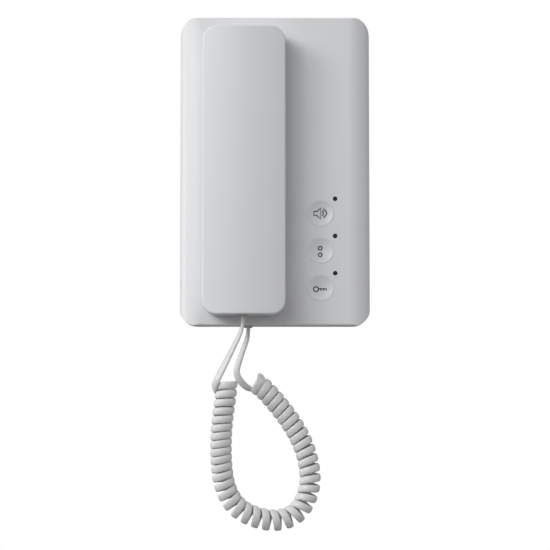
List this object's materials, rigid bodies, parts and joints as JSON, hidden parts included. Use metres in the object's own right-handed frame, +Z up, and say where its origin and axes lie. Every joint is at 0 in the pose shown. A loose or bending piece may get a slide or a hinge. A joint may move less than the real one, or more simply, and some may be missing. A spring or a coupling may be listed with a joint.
{
  "type": "audio intercom handset",
  "caption": "Wall-mounted audio intercom: rolled white base with round dished keys, and a handset on a curly cord resting in its cradle.",
  "frame": {"origin": "centre of the base's back face, where it meets the wall", "axes": "+Z up, +X to the right seen from the front, the front of the base faces -Y"},
  "size_m": [0.122, 0.045, 0.3276],
  "materials": {
    "white_plastic": "satin",
    "key_white": "satin",
    "inner_plastic": "matt",
    "cord_white": "satin",
    "board": "solder resist",
    "steel": "plated",
    "magnet": "plated",
    "green_plastic": "matt",
    "black_plastic": "moulded",
    "rubber_black": "matt",
    "lamp": "clear tinted",
    "dark_window": "polished",
    "clear_plastic": "clear"
  },
  "bodies": {
    "base": {"front_cover": "white_plastic", "rear_tray": "inner_plastic", "main_pcb": "board", "pcb_screws": "steel", "terminal_block": "green_plastic", "tact_switch_1": "black_plastic", "tact_switch_2": "black_plastic", "tact_switch_3": "black_plastic", "leds": "lamp", "led_window_1": "dark_window", "led_window_2": "dark_window", "led_window_3": "dark_window", "ringer_speaker": "black_plastic", "cradle_magnets": "magnet", "hook_pin": "steel", "hook_switch": "black_plastic", "base_jack": "black_plastic", "cord_plug_base": "clear_plastic", "cover_screws": "steel", "cord_lead_base": "cord_white", "cord_coil": "cord_white"},
    "hook_lever": {"hook_lever": "white_plastic"},
    "key_1": {"key_1": "key_white"},
    "key_2": {"key_2": "key_white"},
    "key_3": {"key_3": "key_white"},
    "handset": {"handset_front_shell": "white_plastic", "handset_inner_shell": "white_plastic", "handset_screws": "steel", "earpiece_capsule": "black_plastic", "ear_gasket": "rubber_black", "mic_boot": "rubber_black", "mic_capsule": "steel", "handset_weight": "steel", "handset_magnets": "magnet", "handset_pcb": "board", "handset_jack": "black_plastic", "cord_plug_handset": "clear_plastic", "cord_lead_handset": "cord_white"}
  },
  "joints": [
    {"name": "handset_lift", "type": "slide", "parent": "base", "child": "handset", "axis": [0, -1, 0], "range_m": [0, 0.04], "deforming": ["cord_coil"]},
    {"name": "hook_press", "type": "hinge", "parent": "base", "child": "hook_lever", "pos_m": [-0.0195, -0.0152, 0.0285], "axis": [-1, 0, 0], "range_deg": [0, 8]},
    {"name": "key_1_press", "type": "slide", "parent": "base", "child": "key_1", "axis": [0, 1, 0], "range_m": [0, 0.0005], "stiffness_N_per_m": 300},
    {"name": "key_2_press", "type": "slide", "parent": "base", "child": "key_2", "axis": [0, 1, 0], "range_m": [0, 0.0005], "stiffness_N_per_m": 300},
    {"name": "key_3_press", "type": "slide", "parent": "base", "child": "key_3", "axis": [0, 1, 0], "range_m": [0, 0.0005], "stiffness_N_per_m": 300}
  ],
  "couplings": [
    {"joint": "hook_press", "follows": "handset_lift", "rad_per_m": 3.49}
  ]
}
